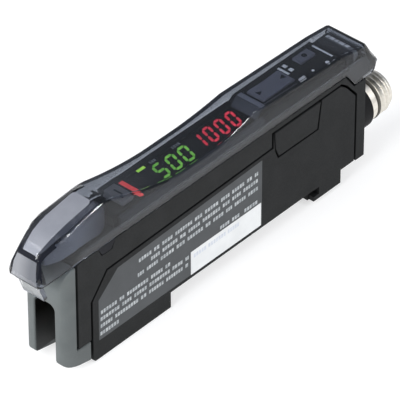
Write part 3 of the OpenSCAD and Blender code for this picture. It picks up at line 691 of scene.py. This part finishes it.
# dark shelves along both sides of the panel
bm = bmesh.new()
for sgn in (-1, 1):
    prism(bm, [(-10.9, 22.55), (24.0, 22.55), (24.0, 24.1), (-10.9, 24.1)], sgn * 2.87, sgn * (3.72 if sgn < 0 else 4.12))
    prism(bm, [(24.05, 22.55), (44.3, 22.55), (44.3, 24.85), (25.0, 24.85), (24.05, 24.1)], sgn * 2.87, sgn * (3.55 if sgn < 0 else 3.95))
bevel_sharp(bm, 0.1, 2)
add("panel_shelves", bm, M["panel"], "case")
# grey frame along the label side of the panel
bm = bmesh.new()
rows = []
for x in (-10.9, 23.9):
    rows.append([bm.verts.new(P(x, y, z)) for y, z in ((-2.74, 24.12), (-2.98, 24.5), (-3.6, 24.5), (-3.74, 24.3), (-3.74, 22.56), (-3.73, 22.56), (-2.88, 24.0))])
for k in range(7):
    bm.faces.new((rows[0][k], rows[1][k], rows[1][(k + 1) % 7], rows[0][(k + 1) % 7]))
bm.faces.new(rows[0])
bm.faces.new(rows[1][::-1])
add("panel_frame", bm, M["frame"], "case")
# small legends beside the digits, as plain grey bars
bm = bmesh.new()
for x, y, n in ((2.75, 1.95, 3), (8.1, 1.95, 4)):
    for i in range(n):
        plate(bm, x + 0.5 * i, x + 0.5 * i + 0.36, y, y + 0.62, DISP, 0.02)
add("window_legends", bm, M["dim_print"], "case")
# pale top of the moulded ridge behind the display
bm = bmesh.new()
box(bm, (24.45, -2.6, KEY + 0.3), (25.45, 2.6, KEY + 0.37))
bevel_sharp(bm, 0.03, 2)
add("ridge_top", bm, M["ridge"], "case")
# grey slope between the display and the keys
bm = bmesh.new()
prism(bm, [(23.03, 24.235), (24.37, 25.527), (24.34, 25.56), (23.0, 24.268)], -2.6, 2.6)
add("panel_slope", bm, M["slope"], "case")
# plain bars printed across the rear cap
bm = bmesh.new()
for y0, y1 in ((-1.75, -1.0), (-0.75, 0.3), (0.55, 1.1), (1.35, 2.3), (2.5, 3.1)):
    prism(bm, [(47.32, 24.649), (48.14, 24.458), (48.14, 24.485), (47.32, 24.676)], y0, y1)
add("rear_marks", bm, M["cap_print"], "case")
# dark marks moulded into the keys
bm = bmesh.new()
for x in (27.5, 33.1):
    slab(bm, [(x - 0.5, -0.25), (x + 0.5, 0.3), (x - 0.5, 0.85)] if x < 30 else [(x + 0.5, 0.85), (x - 0.5, 0.3), (x + 0.5, -0.25)], 25.4, 25.53)
add("rocker_marks", bm, M["mark"], "rocker")
bm = bmesh.new()
slab(bm, [(40.1 + 0.5 * math.cos(k * math.pi / 12), 1.5 + 0.5 * math.sin(k * math.pi / 12)) for k in range(24)], 25.45, 25.53)
add("mode_mark", bm, M["mark"], "mode_key")
bm = bmesh.new()
plate(bm, -7.5, -7.1, -0.9, 0.9, 25.4, 0.02)
add("set_mark", bm, M["mark"], "set_key")


# ---------------------------------------------------------------- plug

def make_plug():
    """Turned shell with a helical thread of 1 mm pitch on the outer cylinder."""
    n, z0 = 96, 10.0
    path = [(49.6, 2.6), (49.6, 3.2), (51.8, 3.2), (51.8, 3.85), (51.95, 4.0), (53.2, 4.0), (53.4, 3.8), (53.4, 3.5), (54.2, 3.5), (54.2, 3.72)]
    xs = np.arange(54.25, 57.05, 0.0625)
    path += [(float(x), None) for x in xs]
    path += [(57.1, 3.6), (57.55, 3.5), (57.7, 3.38), (57.7, 3.08), (57.6, 3.0), (52.6, 3.0), (52.6, 2.6)]
    bm = bmesh.new()
    rings = []
    for x, r in path:
        ring = []
        for k in range(n):
            a = 2 * math.pi * k / n
            rr = r
            if r is None:
                ph = (x - 54.2 - k / n) % 1.0
                tri = min(1.0, max(0.0, abs(ph - 0.5) * 2 * 1.25 - 0.1))
                fade = min(1.0, (x - 54.2) / 0.35, (57.1 - x) / 0.4)
                rr = 4.0 - 0.5 * tri * fade - 0.3 * (1 - fade)
            ring.append(bm.verts.new(P(x, rr * math.cos(a), z0 + rr * math.sin(a))))
        rings.append(ring)
    for a, b in zip(rings, rings[1:] + rings[:1]):
        for k in range(n):
            bm.faces.new((a[k], a[(k + 1) % n], b[(k + 1) % n], b[k]))
    return bm


add("threaded_plug", make_plug(), M["nickel"], "case", ["plug_shell"], angle=35)

# ---------------------------------------------------------------- edges of the CAD nodes

for name, width in {
    "main_housing": 0.2, "side_cover": 0.2, "front_block": 0.3, "lock_lever": 0.25, "expansion_cover": 0.16, "top_panel": 0.12,
    "display_window": 0.06, "power_bar": 0.12, "stability_lamp": 0.03, "set_button": 0.18, "rocker_key": 0.14, "mode_button": 0.16,
    "slide_knob": 0.1, "rear_cap": 0.2, "plug_collar": 0.25, "rail_claw": 0.12, "head_socket": 0.1, "plug_insert": 0.1, "plug_pins": 0.12,
}.items():
    soften(name, width)

# ---------------------------------------------------------------- floor, light, camera

floor = bpy.data.meshes.new("floor")
s = 3.0
floor.from_pydata([(-s, -s, -0.00312), (s, -s, -0.00312), (s, s, -0.00312), (-s, s, -0.00312)], [], [(0, 1, 2, 3)])
floor_obj = bpy.data.objects.new("floor", floor)
bpy.context.scene.collection.objects.link(floor_obj)
fm, fnt, fb, _ = new_mat("floor_pale")
fnt.links.new(ramp(fnt, noise(fnt, 6, 2), (0.43, 0.43, 0.43), (0.45, 0.45, 0.45)), fb.inputs["Base Color"])
fb.inputs["Roughness"].default_value = 0.9
fb.inputs["Specular IOR Level"].default_value = 0.0
fb.inputs["Emission Color"].default_value = (1, 1, 1, 1)
fb.inputs["Emission Strength"].default_value = 0.62
floor.materials.append(fm)


def area(name, place, aim, size, power, color=(1, 1, 1)):
    light = bpy.data.lights.new(name, "AREA")
    light.shape = "RECTANGLE"
    light.size, light.size_y = size
    light.energy = power
    light.color = color
    o = bpy.data.objects.new(name, light)
    o.location = place
    o.rotation_mode = "QUATERNION"
    o.rotation_quaternion = (Vector(aim) - Vector(place)).to_track_quat("-Z", "Y")
    bpy.context.scene.collection.objects.link(o)
    return o


area("front_box", (-0.75, 0.05, 0.45), (0, 0, 0.01), (0.6, 0.6), 12.0)
area("label_box", (0.15, -0.8, 0.35), (0, 0, 0.01), (0.7, 0.4), 2.2)
area("streak_box", (0.443, -0.582, 0.678), (-0.035, 0, 0.024), (0.10, 0.145), 1.3)
area("streak_mid", (0.27, -0.76, 0.60), (-0.04, 0, 0.024), (0.16, 0.14), 1.3)

world = bpy.data.worlds.new("studio")
world.use_nodes = True
bg = world.node_tree.nodes.get("Background") or world.node_tree.nodes.new("ShaderNodeBackground")
bg.inputs["Color"].default_value = (0.88, 0.94, 1.06, 1)
bg.inputs["Strength"].default_value = 0.36
bpy.context.scene.world = world

scene = bpy.context.scene
scene.view_settings.view_transform = "Standard"
scene.view_settings.look = "None"
scene.cycles.max_bounces = 16
scene.cycles.transmission_bounces = 12
scene.cycles.transparent_max_bounces = 16
scene.cycles.caustics_refractive = True

AZ, EL, ROLL = math.radians(-48.42002), math.radians(38.34341), math.radians(-0.0524)
back = Vector((math.sin(AZ) * math.cos(EL), -math.cos(AZ) * math.cos(EL), math.sin(EL)))
right = Vector((math.cos(AZ), math.sin(AZ), 0))
up = back.cross(right)
right, up = right * math.cos(ROLL) + up * math.sin(ROLL), up * math.cos(ROLL) - right * math.sin(ROLL)
eye = P(*(right * 8.24515 + up * 15.51705 + back * 736.15722))
data = bpy.data.cameras.new("camera")
data.sensor_width = 36
data.lens = 405
data.clip_start, data.clip_end = 0.05, 20
cam = bpy.data.objects.new("camera", data)
cam.matrix_world = Matrix(((right.x, up.x, back.x, eye.x), (right.y, up.y, back.y, eye.y), (right.z, up.z, back.z, eye.z), (0, 0, 0, 1)))
scene.collection.objects.link(cam)
scene.camera = cam
